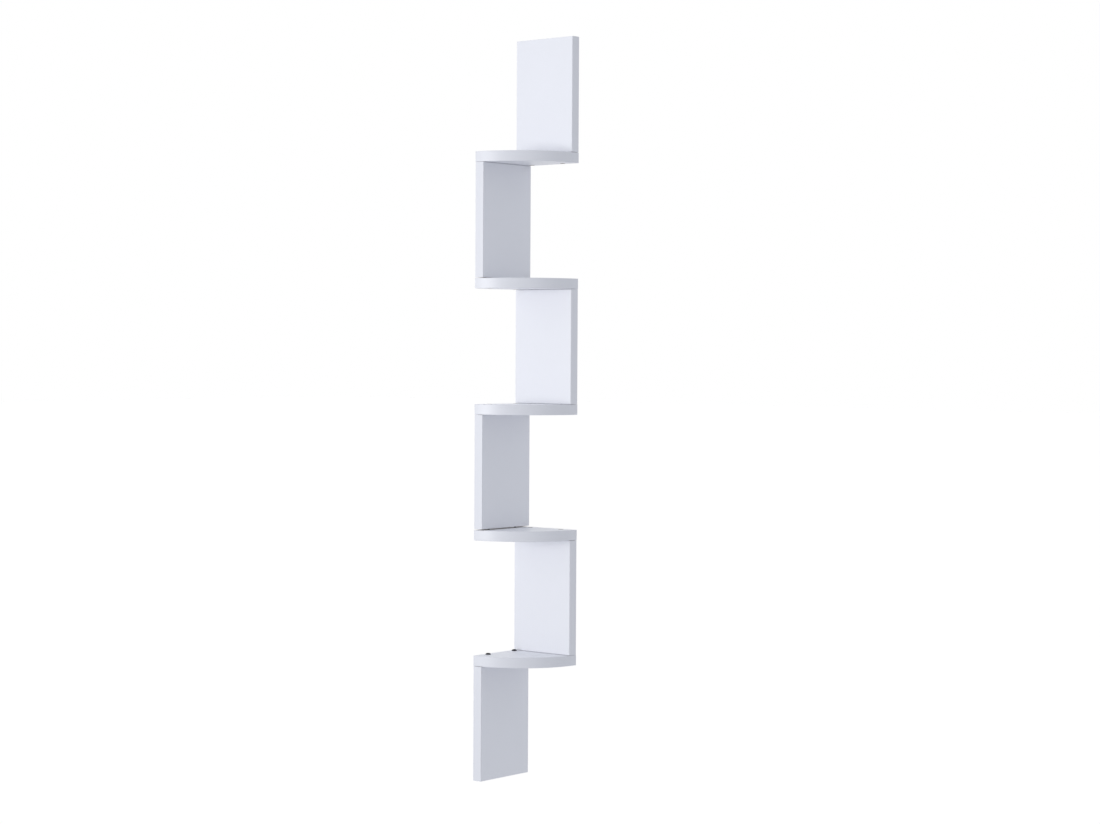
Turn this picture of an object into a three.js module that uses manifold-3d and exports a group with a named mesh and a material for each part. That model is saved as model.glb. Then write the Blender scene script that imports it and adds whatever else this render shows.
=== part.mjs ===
// Zigzag corner bookshelf: five quarter-round shelves joined by six uprights that stand by turns
// on the right wall and on the left wall of a room's corner.
// Millimetres, +Z up. The two walls meet on the Z axis: the left wall is the plane x = 0 and runs
// towards -Y, the right wall is the plane y = 0 and runs towards +X, and z = 0 is the foot of the
// lowest upright. Shelves and uprights are numbered from the top.

import * as THREE from "three";
import { mergeVertices } from "three/addons/utils/BufferGeometryUtils.js";
import Module from "manifold-3d";

// Boards
const SHELF_COUNT = 5;
const SHELF_DEPTH = 125;
const UPRIGHT_HEIGHT = 197;
const BOARD_THICKNESS = 18;
const JOINT_GAP = 0.3;

// Edge bands glued on the front edges
const BAND_THICKNESS = 1;
const GLUE_GAP = 0.1;

// Joint screws, two through a shelf into the end of each upright. Their heads are sunk flush into
// the shelf, but for the two domed ones that stand on top of the lowest shelf
const SCREW_INSET = 28;
const SCREW_LENGTH = 50;
const SCREW_DIAMETER = 5;
const SCREW_TIP_LENGTH = 5;
const SCREW_HEAD_DIAMETER = 9;
const DOMED_HEAD_HEIGHT = 2.6;
const DOMED_SEAT_GAP = 0.1;
const SUNK_HEAD_HEIGHT = 2.6;
const SUNK_HEAD_RIM = 0.3;
const SUNK_HEAD_DROP = 0.2;
const SCREW_RECESS_SPAN = 5;
const SCREW_RECESS_WIDTH = 1.3;
const SCREW_RECESS_DEPTH = 1.7;
const HOLE_CLEARANCE = 0.3;
const PILOT_RUNOUT = 2;

// Keyhole plates let into the backs of the uprights that carry the weight
const HANGER_UPRIGHTS = [1, 2, 5, 6];
const HANGER_DROP = 62;
const PLATE_LENGTH = 54;
const PLATE_WIDTH = 16;
const PLATE_THICKNESS = 2;
const PLATE_SETBACK = 0.3;
const PLATE_GAP = 0.3;
const KEYHOLE_ENTRY_DIAMETER = 10;
const KEYHOLE_SLOT_WIDTH = 5;
const KEYHOLE_RISE = 11;
const POCKET_WIDTH = 13;
const POCKET_DEPTH = 6;

// Countersunk screws that hold a keyhole plate
const PLATE_SCREW_INSET = 6.5;
const PLATE_SCREW_LENGTH = 14;
const PLATE_SCREW_DIAMETER = 3;
const PLATE_SCREW_HEAD_DIAMETER = 6;
const PLATE_SCREW_HEAD_HEIGHT = 1.5;
const PLATE_SCREW_TIP_LENGTH = 3;
const PLATE_SCREW_CLEARANCE = 0.2;
const PLATE_PILOT_RUNOUT = 1;

// Cuts run this far past the faces they open, and points closer than the weld distance are one
const CUT_OVERRUN = 1;
const WELD_DISTANCE = 0.0005;

// A domed screw head's outline from its rim to its flat crown, as shares of its radius and height
const DOME_SHARES = [[1, 0.4], [0.84, 0.78], [0.5, 1]];

// Number of facets on round shapes; an arc has two facets for each of its segments
const ARC_SEGMENTS = 16;
const SCREW_SIDES = 16;
const PLATE_SCREW_SIDES = 12;
const PLATE_ARC_SEGMENTS = 5;

// Places that follow from the sizes above
const TIER_PITCH = UPRIGHT_HEIGHT + BOARD_THICKNESS + 2 * JOINT_GAP;
const CORE_DEPTH = SHELF_DEPTH - BAND_THICKNESS - GLUE_GAP;
const SCREW_PLACES = { front: SHELF_DEPTH - SCREW_INSET, rear: SCREW_INSET };
const PILOT_DEPTH = SCREW_LENGTH - BOARD_THICKNESS - JOINT_GAP + PILOT_RUNOUT;
const RECESS_DEPTH = PLATE_SETBACK + PLATE_THICKNESS + PLATE_GAP;
const PLATE_END_CENTRE = (PLATE_LENGTH - PLATE_WIDTH) / 2;
const PLATE_SCREW_PLACE = PLATE_LENGTH / 2 - PLATE_SCREW_INSET;
const LEFT = "left";
const RIGHT = "right";

const MATERIALS = {
  laminate: { color: 0xe9eaf0, roughness: 0.4, metalness: 0 },
  band: { color: 0xe6e7ee, roughness: 0.45, metalness: 0 },
  blackScrew: { color: 0x2c2b2d, roughness: 0.42, metalness: 0.85 },
  zinc: { color: 0xb8bcc2, roughness: 0.35, metalness: 1 },
};

const wasm = await Module();
wasm.setup();

// Odd uprights stand on the right wall and even ones on the left wall.
function wallOf(number) {
  return number % 2 === 1 ? RIGHT : LEFT;
}

// A place in plan from its distance along a wall, measured from the corner, and off that wall.
function planPoint(wall, along, off) {
  return wall === LEFT ? new THREE.Vector2(off, -along) : new THREE.Vector2(along, -off);
}

// Height of the foot of an upright above z = 0.
function uprightFoot(number) {
  return (SHELF_COUNT + 1 - number) * TIER_PITCH;
}

// Height of the underside of a shelf: one joint gap under the foot of the upright that it carries.
function shelfUnderside(number) {
  return uprightFoot(number) - JOINT_GAP - BOARD_THICKNESS;
}

// A closed geometry as a solid. Triangles that a lathe flattens at its axis are dropped.
function toSolid(geometry) {
  const bare = geometry.clone();
  bare.deleteAttribute("normal");
  bare.deleteAttribute("uv");
  const merged = mergeVertices(bare, WELD_DISTANCE);
  const corners = merged.index.array;
  const kept = [];
  for (let i = 0; i < corners.length; i += 3) {
    const [a, b, c] = corners.subarray(i, i + 3);
    if (a !== b && b !== c && c !== a) kept.push(a, b, c);
  }
  const vertProperties = new Float32Array(merged.attributes.position.array);
  const triVerts = new Uint32Array(kept);
  return new wasm.Manifold(new wasm.Mesh({ numProp: 3, vertProperties, triVerts }));
}

// A solid as a geometry that a mesh can show.
function toGeometry(solid) {
  const { vertProperties, triVerts } = solid.getMesh();
  const geometry = new THREE.BufferGeometry();
  geometry.setAttribute("position", new THREE.BufferAttribute(new Float32Array(vertProperties), 3));
  geometry.setIndex(new THREE.BufferAttribute(new Uint32Array(triVerts), 1));
  geometry.computeVertexNormals();
  return geometry;
}

// A plan outline carried up through a height.
function extrude(shape, height, curveSegments) {
  return new THREE.ExtrudeGeometry(shape, { depth: height, bevelEnabled: false, curveSegments });
}

// A closed profile of [radius, height] points turned about the Z axis.
function turned(profile, sides) {
  const points = profile.map(([radius, height]) => new THREE.Vector2(radius, height));
  return new THREE.LatheGeometry(points, sides).rotateX(Math.PI / 2);
}

// A straight rod on the Z axis between two heights.
function rod(diameter, bottom, top, sides) {
  const radius = diameter / 2;
  return turned([[0, bottom], [radius, bottom], [radius, top], [0, top]], sides);
}

// An upright outline with round ends, centred on the origin in X, between two centres in Y.
function roundEnded(width, lowCentre, highCentre) {
  const radius = width / 2;
  const shape = new THREE.Shape();
  shape.absarc(0, highCentre, radius, 0, Math.PI, false);
  shape.absarc(0, lowCentre, radius, Math.PI, 2 * Math.PI, false);
  shape.closePath();
  return shape;
}

// A quarter disc against both walls.
function quarterDisc(radius) {
  const shape = new THREE.Shape();
  shape.moveTo(0, 0);
  shape.lineTo(radius, 0);
  shape.absarc(0, 0, radius, 0, -Math.PI / 2, true);
  shape.closePath();
  return shape;
}

// Four corners of a board seen in plan, from the corner of the walls to its front end.
function boardOutline(wall, start, end) {
  const corners = [[start, 0], [end, 0], [end, BOARD_THICKNESS], [start, BOARD_THICKNESS]];
  return new THREE.Shape(corners.map(([along, off]) => planPoint(wall, along, off)));
}

// The two joints of a shelf. Each has a wall, the height in the shelf of the face that its screws
// enter by, the turn that points them into the upright, and the kind of head that they have.
function shelfJoints(number) {
  const up = { way: "up", wall: wallOf(number), face: 0, turn: Math.PI, domed: false };
  const down = { way: "down", wall: wallOf(number + 1), face: BOARD_THICKNESS, turn: 0 };
  return [up, { ...down, domed: number === SHELF_COUNT }];
}

// A clearance hole through a shelf, drawn with the face that its screw enters by at z = 0. A sunk
// head gets a countersink that keeps the clearance all round it.
function screwHole(domed) {
  const shank = SCREW_DIAMETER / 2 + HOLE_CLEARANCE;
  const mouth = SCREW_HEAD_DIAMETER / 2 + HOLE_CLEARANCE;
  const end = -BOARD_THICKNESS - CUT_OVERRUN;
  if (domed) return rod(2 * shank, end, CUT_OVERRUN, SCREW_SIDES);
  const profile = [
    [0, end],
    [shank, end],
    [shank, -SUNK_HEAD_DROP - SUNK_HEAD_HEIGHT],
    [mouth, -SUNK_HEAD_DROP - SUNK_HEAD_RIM],
    [mouth, CUT_OVERRUN],
    [0, CUT_OVERRUN],
  ];
  return turned(profile, SCREW_SIDES);
}

// A shelf's core, with holes for the screws of the upright above and the one below.
function shelfCore(number) {
  let solid = toSolid(extrude(quarterDisc(CORE_DEPTH), BOARD_THICKNESS, ARC_SEGMENTS));
  for (const { wall, face, turn, domed } of shelfJoints(number)) {
    for (const along of Object.values(SCREW_PLACES)) {
      const place = planPoint(wall, along, BOARD_THICKNESS / 2);
      const hole = screwHole(domed).rotateX(turn).translate(place.x, place.y, face);
      solid = solid.subtract(toSolid(hole));
    }
  }
  return toGeometry(solid);
}

// The strip round a shelf's curved front edge.
function shelfBand() {
  const outer = SHELF_DEPTH;
  const inner = SHELF_DEPTH - BAND_THICKNESS;
  const shape = new THREE.Shape();
  shape.moveTo(inner, 0);
  shape.lineTo(outer, 0);
  shape.absarc(0, 0, outer, 0, -Math.PI / 2, true);
  shape.lineTo(0, -inner);
  shape.absarc(0, 0, inner, -Math.PI / 2, 0, false);
  shape.closePath();
  return extrude(shape, BOARD_THICKNESS, ARC_SEGMENTS);
}

// The strip down an upright's front edge.
function uprightBand(wall) {
  const outline = boardOutline(wall, SHELF_DEPTH - BAND_THICKNESS, SHELF_DEPTH);
  return extrude(outline, UPRIGHT_HEIGHT, 1);
}

// Turns a shape drawn as it is seen from the wall, X across, Y up and Z out of the board's back,
// to an upright's back, at a height above the upright's foot.
function backMatrix(wall, height) {
  const up = new THREE.Vector3(0, 0, 1);
  const out = wall === LEFT ? new THREE.Vector3(-1, 0, 0) : new THREE.Vector3(0, 1, 0);
  const across = new THREE.Vector3().crossVectors(up, out);
  const place = planPoint(wall, SHELF_DEPTH / 2, 0);
  return new THREE.Matrix4().makeBasis(across, up, out).setPosition(place.x, place.y, height);
}

// Pilot holes in the ends of an upright that meet a shelf.
function pilotHoles(wall, hasShelfAbove, hasShelfBelow) {
  const diameter = SCREW_DIAMETER + 2 * HOLE_CLEARANCE;
  const spans = [];
  if (hasShelfAbove) spans.push([UPRIGHT_HEIGHT - PILOT_DEPTH, UPRIGHT_HEIGHT + CUT_OVERRUN]);
  if (hasShelfBelow) spans.push([-CUT_OVERRUN, PILOT_DEPTH]);
  const holes = [];
  for (const [bottom, top] of spans) {
    for (const along of Object.values(SCREW_PLACES)) {
      const place = planPoint(wall, along, BOARD_THICKNESS / 2);
      holes.push(rod(diameter, bottom, top, SCREW_SIDES).translate(place.x, place.y, 0));
    }
  }
  return holes;
}

// The recess that a keyhole plate lies in, the pocket for the wall screw's head behind it, and
// the pilot holes of its two screws.
function hangerCuts(wall) {
  const matrix = backMatrix(wall, UPRIGHT_HEIGHT - HANGER_DROP);
  const recess = extrude(
    roundEnded(PLATE_WIDTH + 2 * PLATE_GAP, -PLATE_END_CENTRE, PLATE_END_CENTRE),
    RECESS_DEPTH + CUT_OVERRUN,
    PLATE_ARC_SEGMENTS,
  ).translate(0, 0, -RECESS_DEPTH);
  const pocket = extrude(
    roundEnded(POCKET_WIDTH, -KEYHOLE_RISE / 2, KEYHOLE_RISE / 2),
    POCKET_DEPTH + CUT_OVERRUN,
    PLATE_ARC_SEGMENTS,
  ).translate(0, 0, -RECESS_DEPTH - POCKET_DEPTH);
  const diameter = PLATE_SCREW_DIAMETER + 2 * PLATE_SCREW_CLEARANCE;
  const end = -PLATE_SETBACK - PLATE_SCREW_LENGTH - PLATE_PILOT_RUNOUT;
  const pilots = [-1, 1].map((way) => {
    const hole = rod(diameter, end, -RECESS_DEPTH + CUT_OVERRUN, PLATE_SCREW_SIDES);
    return hole.translate(0, way * PLATE_SCREW_PLACE, 0);
  });
  return [recess, pocket, ...pilots].map((cut) => cut.applyMatrix4(matrix));
}

// An upright's core with every hole that its joints and its hanger need.
function uprightCore(number) {
  const wall = wallOf(number);
  const cuts = pilotHoles(wall, number > 1, number <= SHELF_COUNT);
  if (HANGER_UPRIGHTS.includes(number)) cuts.push(...hangerCuts(wall));
  let solid = toSolid(extrude(boardOutline(wall, 0, CORE_DEPTH), UPRIGHT_HEIGHT, 1));
  for (const cut of cuts) solid = solid.subtract(toSolid(cut));
  return toGeometry(solid);
}

// The outline of a joint screw's head from its shank up, as [radius, height] points.
function headProfile(domed) {
  const head = SCREW_HEAD_DIAMETER / 2;
  const shank = SCREW_DIAMETER / 2;
  if (domed) {
    const dome = DOME_SHARES.map(([radius, height]) => [head * radius, DOMED_HEAD_HEIGHT * height]);
    return [[shank, 0], [head, 0], ...dome];
  }
  return [[shank, -SUNK_HEAD_HEIGHT], [head, -SUNK_HEAD_RIM], [head, 0]];
}

// A joint screw with its shank pointing down. The seat of a domed head or the flat top of a sunk
// one is at z = 0, and the screw's length counts from there.
function jointScrew(domed) {
  const shank = SCREW_DIAMETER / 2;
  const crown = domed ? DOMED_HEAD_HEIGHT : 0;
  const tip = [[0, -SCREW_LENGTH], [shank, -SCREW_LENGTH + SCREW_TIP_LENGTH]];
  const height = SCREW_RECESS_DEPTH + CUT_OVERRUN;
  let solid = toSolid(turned([...tip, ...headProfile(domed), [0, crown]], SCREW_SIDES));
  for (const turn of [0, Math.PI / 2]) {
    const blade = new THREE.BoxGeometry(SCREW_RECESS_SPAN, SCREW_RECESS_WIDTH, height);
    blade.rotateZ(turn).translate(0, 0, crown - SCREW_RECESS_DEPTH + height / 2);
    solid = solid.subtract(toSolid(blade));
  }
  return toGeometry(solid);
}

// A keyhole plate, drawn as it is seen from the wall: round entry below, slot above. Its outer
// face is at z = 0, and both screw holes are countersunk from there.
function keyholePlate() {
  const outline = roundEnded(PLATE_WIDTH, -PLATE_END_CENTRE, PLATE_END_CENTRE);
  const blank = extrude(outline, PLATE_THICKNESS, PLATE_ARC_SEGMENTS);
  const cuts = [
    rod(KEYHOLE_ENTRY_DIAMETER, -CUT_OVERRUN, PLATE_THICKNESS + CUT_OVERRUN, SCREW_SIDES)
      .translate(0, -KEYHOLE_RISE / 2, 0),
    extrude(
      roundEnded(KEYHOLE_SLOT_WIDTH, -KEYHOLE_RISE / 2, KEYHOLE_RISE / 2),
      PLATE_THICKNESS + 2 * CUT_OVERRUN,
      PLATE_ARC_SEGMENTS,
    ).translate(0, 0, -CUT_OVERRUN),
    ...[-1, 1].map((way) => plateScrewHole().translate(0, way * PLATE_SCREW_PLACE, 0)),
  ];
  let solid = toSolid(blank);
  for (const cut of cuts) solid = solid.subtract(toSolid(cut));
  return toGeometry(solid).translate(0, 0, -PLATE_THICKNESS);
}

// A countersunk hole through a plate whose faces are at z = 0 and z = PLATE_THICKNESS.
function plateScrewHole() {
  const shank = PLATE_SCREW_DIAMETER / 2 + PLATE_SCREW_CLEARANCE;
  const mouth = PLATE_SCREW_HEAD_DIAMETER / 2 + PLATE_SCREW_CLEARANCE;
  const sink = PLATE_THICKNESS - PLATE_SCREW_HEAD_HEIGHT;
  const profile = [
    [0, -CUT_OVERRUN],
    [shank, -CUT_OVERRUN],
    [shank, sink],
    [mouth, PLATE_THICKNESS],
    [mouth, PLATE_THICKNESS + CUT_OVERRUN],
    [0, PLATE_THICKNESS + CUT_OVERRUN],
  ];
  return turned(profile, PLATE_SCREW_SIDES);
}

// A countersunk screw whose head is flush with z = 0, with its shank pointing down.
function plateScrew() {
  const shank = PLATE_SCREW_DIAMETER / 2;
  const profile = [
    [0, -PLATE_SCREW_LENGTH],
    [shank, -PLATE_SCREW_LENGTH + PLATE_SCREW_TIP_LENGTH],
    [shank, -PLATE_SCREW_HEAD_HEIGHT],
    [PLATE_SCREW_HEAD_DIAMETER / 2, 0],
    [0, 0],
  ];
  return toGeometry(toSolid(turned(profile, PLATE_SCREW_SIDES)));
}

// A named mesh with a material of its own.
function piece(name, geometry, finish) {
  const mesh = new THREE.Mesh(geometry, new THREE.MeshStandardMaterial(MATERIALS[finish]));
  mesh.name = name;
  return mesh;
}

// An upright with its band and, where it has one, its keyhole plate and that plate's screws.
function uprightAssembly(number) {
  const wall = wallOf(number);
  const group = new THREE.Group();
  group.position.z = uprightFoot(number);
  group.add(piece(`upright_${number}_${wall}`, uprightCore(number), "laminate"));
  group.add(piece(`upright_${number}_edge_band`, uprightBand(wall), "band"));
  if (HANGER_UPRIGHTS.includes(number)) group.add(hangerAssembly(number));
  return group;
}

// A keyhole plate and its two screws, placed on the back of an upright.
function hangerAssembly(number) {
  const group = new THREE.Group();
  group.applyMatrix4(backMatrix(wallOf(number), UPRIGHT_HEIGHT - HANGER_DROP));
  const plate = piece(`hanger_plate_${number}`, keyholePlate(), "zinc");
  plate.position.z = -PLATE_SETBACK;
  group.add(plate);
  for (const [place, way] of [["upper", 1], ["lower", -1]]) {
    const screw = piece(`hanger_plate_${number}_screw_${place}`, plateScrew(), "zinc");
    screw.position.set(0, way * PLATE_SCREW_PLACE, -PLATE_SETBACK);
    group.add(screw);
  }
  return group;
}

// A shelf with its band and its four screws: two go up into the upright above it, from under the
// shelf, and two go down into the upright below it, from the top.
function shelfAssembly(number) {
  const group = new THREE.Group();
  group.position.z = shelfUnderside(number);
  group.add(piece(`shelf_${number}`, shelfCore(number), "laminate"));
  group.add(piece(`shelf_${number}_edge_band`, shelfBand(), "band"));
  for (const { way, wall, face, turn, domed } of shelfJoints(number)) {
    const seat = new THREE.Vector3(0, 0, domed ? DOMED_SEAT_GAP : -SUNK_HEAD_DROP);
    seat.applyAxisAngle(new THREE.Vector3(1, 0, 0), turn);
    for (const [end, along] of Object.entries(SCREW_PLACES)) {
      const screw = piece(`shelf_${number}_screw_${way}_${end}`, jointScrew(domed), "blackScrew");
      const place = planPoint(wall, along, BOARD_THICKNESS / 2);
      screw.position.set(place.x, place.y, face + seat.z);
      screw.rotation.x = turn;
      group.add(screw);
    }
  }
  return group;
}

const bookshelf = new THREE.Group();
for (let number = 1; number <= SHELF_COUNT + 1; number += 1) bookshelf.add(uprightAssembly(number));
for (let number = 1; number <= SHELF_COUNT; number += 1) bookshelf.add(shelfAssembly(number));
bookshelf.updateMatrixWorld(true);

export default bookshelf;
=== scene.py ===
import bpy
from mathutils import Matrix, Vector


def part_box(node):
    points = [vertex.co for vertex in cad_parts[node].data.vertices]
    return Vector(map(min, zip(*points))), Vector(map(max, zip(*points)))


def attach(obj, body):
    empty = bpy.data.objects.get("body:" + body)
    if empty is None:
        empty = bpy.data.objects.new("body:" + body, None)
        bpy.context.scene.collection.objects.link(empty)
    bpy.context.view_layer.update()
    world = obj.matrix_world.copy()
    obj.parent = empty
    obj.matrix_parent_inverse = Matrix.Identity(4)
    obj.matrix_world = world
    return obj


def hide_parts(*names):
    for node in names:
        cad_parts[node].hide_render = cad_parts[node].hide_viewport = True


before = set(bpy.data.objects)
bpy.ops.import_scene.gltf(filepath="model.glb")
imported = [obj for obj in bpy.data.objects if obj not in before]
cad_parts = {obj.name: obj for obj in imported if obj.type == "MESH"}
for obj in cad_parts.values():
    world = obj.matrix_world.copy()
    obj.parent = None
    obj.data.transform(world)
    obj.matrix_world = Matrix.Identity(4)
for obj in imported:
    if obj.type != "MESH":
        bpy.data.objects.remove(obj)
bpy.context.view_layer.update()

import bpy
import numpy as np
from mathutils import Matrix

bl_info = {
    "name": "Zigzag corner bookshelf",
    "version": (1, 0, 0),
    "blender": (4, 5, 0),
    "location": "3D View > Sidebar > Bookshelf",
    "description": "Builds the finished boards, bands, screws and keyhole plates of a corner shelf",
    "category": "Object",
}

MM = 0.001
BODY = "root"

# Points closer together than this count as one sharp corner
CRISP = 0.02 * MM
# How far a cutting shape runs past the face that it opens
OVERRUN = 1 * MM
# Steps along rounded edges, along a shelf's curved front, and round drilled holes
EDGE_STEPS = 5
ARC_STEPS = 90
HOLE_STEPS = 48
# Edges that turn more than this keep a crisp line
SHARP_ANGLE = np.radians(32)
# Keeps a division off zero
NEARLY_ZERO = 1e-9

# Rounding of a shelf's two straight edges, as a share of that of an upright's long edges
SHELF_EDGE_SHARE = 0.6
# How far the pilot holes run past the tips of the joint screws and of the plate screws
JOINT_RUNOUT = 2 * MM
PLATE_RUNOUT = 1 * MM
# Gap between a plate screw and its holes
PLATE_SCREW_GAP = 0.2 * MM
# Rounding of a keyhole plate's edges, towards the board and towards the wall
PLATE_INNER_EDGE = 0.15 * MM
PLATE_OUTER_EDGE = 0.25 * MM

# Straight rim of a screw's head, bevel round a sunk head, and how a dome's radius falls: as this
# power of the cosine
HEAD_RIM = 0.3 * MM
HEAD_BEVEL = 0.1 * MM
DOME_POWER = 0.7
# Depth of a thread as a share of the shank, and half the width of its foot as a share of its pitch
THREAD_DEPTH = 0.22
THREAD_FOOT = 0.3
# Plain neck as a share of a screw's length, and blunt end as a share of its core's radius
NECK_SHARE = 0.28
TIP_SHARE = 0.1
# Rows in one turn of thread, down a tip and up a dome
THREAD_ROWS = 8
TIP_ROWS = 8
DOME_ROWS = 12
# Rise of a plate screw's thread in one turn
PLATE_PITCH = 1.2 * MM
# Width, span and depth of the cross recesses in joint screws and in plate screws
JOINT_RECESS = (1.3 * MM, 5 * MM, 1.7 * MM)
PLATE_RECESS = (0.9 * MM, 3.4 * MM, 1.1 * MM)
# Share of a recess's depth that its straight mouth takes, and of its span that its foot keeps
RECESS_MOUTH = 0.1
RECESS_FOOT = 0.42
# Turn from one screw's cross to the next: steps of the golden angle leave no two alike
GOLDEN_ANGLE = np.radians(137.5)

# Half the floor's width, and the camera's sensor in millimetres
FLOOR_HALF = 40.0
SENSOR = 36
# Key light: width and height of its softbox, the beam that its grid leaves, and its colour
KEY_SIZE = (2.4, 1.2)
KEY_SPREAD = np.radians(58)
KEY_COLOUR = (1.0, 0.99, 0.975)
# It stands at this distance from the first point, level with it and on this side of it, and aims
# at the second point
KEY_LEVEL = (0.06, -0.06, 0.7)
KEY_DISTANCE = 5.0
KEY_SIDE = (-0.32, -0.947, 0)
KEY_AIM = (0.06, -0.06, 1.0)
# Light passes from one flat to the next while a direction's x or y goes from minus to plus this
FLAT_BLEND = 0.15
# Tint of the light off the flats, a little cool
FLAT_TINT = np.array([0.95, 0.98, 1.03])


# Places in the frame

def wall_of(number):
    """The wall that an upright stands on: odd ones on the right wall, even ones on the left."""
    return "right" if number % 2 else "left"


def upright_node(number):
    """The name of an upright's core in the frame."""
    return f"upright_{number}_{wall_of(number)}"


NUMBERS = range(1, len(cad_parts) + 1)
UPRIGHTS = [n for n in NUMBERS if upright_node(n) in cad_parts]
SHELVES = [n for n in NUMBERS if f"shelf_{n}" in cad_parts]
HANGERS = [n for n in UPRIGHTS if f"hanger_plate_{n}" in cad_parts]


def node_box(node):
    """Lowest and highest corner of a CAD node as arrays."""
    low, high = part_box(node)
    return np.array(low), np.array(high)


def along_wall(points, wall):
    """Turns points given as distance along a wall, distance off it and height into x, y and z."""
    along, off, height = points[..., 0], points[..., 1], points[..., 2]
    if wall == "left":
        return np.stack([off, -along, height], axis=-1)
    return np.stack([along, -off, height], axis=-1)


def wall_span(node, wall):
    """A node's spans along its wall, off its wall and in height, as three (least, most) pairs."""
    low, high = node_box(node)
    if wall == "left":
        return (-high[1], -low[1]), (low[0], high[0]), (low[2], high[2])
    return (low[0], high[0]), (-high[1], -low[1]), (low[2], high[2])


def back_matrix(wall, along, height):
    """Maps a shape drawn as the wall sees it, x across, y up and z out of an upright's back."""
    if wall == "left":
        across, out, place = (0, -1, 0), (-1, 0, 0), (0, -along, height)
    else:
        across, out, place = (-1, 0, 0), (0, 1, 0), (along, 0, height)
    return Matrix((across, (0, 0, 1), out)).transposed().to_4x4(), place


# Colours

def linear(code):
    """An sRGB hex colour such as "e9eaf0" as three linear values."""
    share = np.array([int(code[i:i + 2], 16) for i in (0, 2, 4)]) / 255
    low = share / 12.92
    high = ((share + 0.055) / 1.055) ** 2.4
    return tuple(np.where(share <= 0.04045, low, high))


# Settings

LENGTH = {"subtype": "DISTANCE", "unit": "LENGTH", "precision": 5, "min": 0}
ANGLE = {"subtype": "ANGLE", "unit": "ROTATION"}
COLOUR = {"subtype": "COLOR", "size": 3, "min": 0, "max": 1}


class BookshelfBoards(bpy.types.PropertyGroup):
    """Sizes and colours of the boards and their edge bands."""
    laminate: bpy.props.FloatVectorProperty(
        name="Laminate", description="Colour of the melamine faces", default=linear("e9eaf0"), **COLOUR)
    band: bpy.props.FloatVectorProperty(
        name="Edge band", description="Colour of the bands on the front edges",
        default=linear("e2e3e9"), **COLOUR)
    board_core: bpy.props.FloatVectorProperty(
        name="Bare board", description="Colour of the fibreboard where it is cut",
        default=linear("a98a63"), **COLOUR)
    long_edge: bpy.props.FloatProperty(
        name="Long edge", description="Rounding of a board's long edges", default=0.5 * MM, **LENGTH)
    end_edge: bpy.props.FloatProperty(
        name="End edge", description="Rounding round an upright's ends, which opens its joints",
        default=1.0 * MM, **LENGTH)
    band_edge: bpy.props.FloatProperty(
        name="Band edge", description="Rounding of an edge band's two outer edges",
        default=0.8 * MM, **LENGTH)
    open_feet: bpy.props.FloatVectorProperty(
        name="Open feet", description="How far each upright, from the top, stands off its shelf",
        unit="LENGTH", precision=5, size=6, min=0,
        default=(0, 0.6 * MM, 0, 1.4 * MM, 0, 0))


class BookshelfScrews(bpy.types.PropertyGroup):
    """Sizes and colours of the screws."""
    black: bpy.props.FloatVectorProperty(
        name="Joint screws", description="Colour of the phosphated joint screws",
        default=linear("38383c"), **COLOUR)
    zinc: bpy.props.FloatVectorProperty(
        name="Zinc", description="Colour of the plates and their screws",
        default=linear("b4b8bd"), **COLOUR)
    shank: bpy.props.FloatProperty(
        name="Shank", description="Diameter of a joint screw's shank", default=5 * MM, **LENGTH)
    thread_pitch: bpy.props.FloatProperty(
        name="Thread pitch", description="Rise of a joint screw's thread in one turn",
        default=2.4 * MM, **LENGTH)
    head_height: bpy.props.FloatProperty(
        name="Head height", description="Height of a joint screw's domed or sunk head",
        default=2.6 * MM, **LENGTH)
    hole_clearance: bpy.props.FloatProperty(
        name="Hole clearance", description="Gap between a joint screw and its hole",
        default=0.3 * MM, **LENGTH)
    plate_shank: bpy.props.FloatProperty(
        name="Plate screw shank", description="Diameter of a plate screw's shank",
        default=3 * MM, **LENGTH)
    plate_head_height: bpy.props.FloatProperty(
        name="Plate screw head", description="Height of a plate screw's countersunk head",
        default=1.5 * MM, **LENGTH)


class BookshelfPlates(bpy.types.PropertyGroup):
    """Sizes of the keyhole plates and of what is cut for them."""
    entry: bpy.props.FloatProperty(
        name="Keyhole entry", description="Diameter of the round part of the keyhole",
        default=10 * MM, **LENGTH)
    slot: bpy.props.FloatProperty(
        name="Keyhole slot", description="Width of the keyhole's slot", default=5 * MM, **LENGTH)
    rise: bpy.props.FloatProperty(
        name="Keyhole rise", description="Distance from the entry's centre to the slot's top centre",
        default=11 * MM, **LENGTH)
    pocket_width: bpy.props.FloatProperty(
        name="Pocket width", description="Width of the pocket behind the plate",
        default=13 * MM, **LENGTH)
    pocket_depth: bpy.props.FloatProperty(
        name="Pocket depth", description="Depth of the pocket behind the plate",
        default=6 * MM, **LENGTH)
    gap: bpy.props.FloatProperty(
        name="Plate gap", description="Gap between the plate and its recess",
        default=0.3 * MM, **LENGTH)


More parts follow.
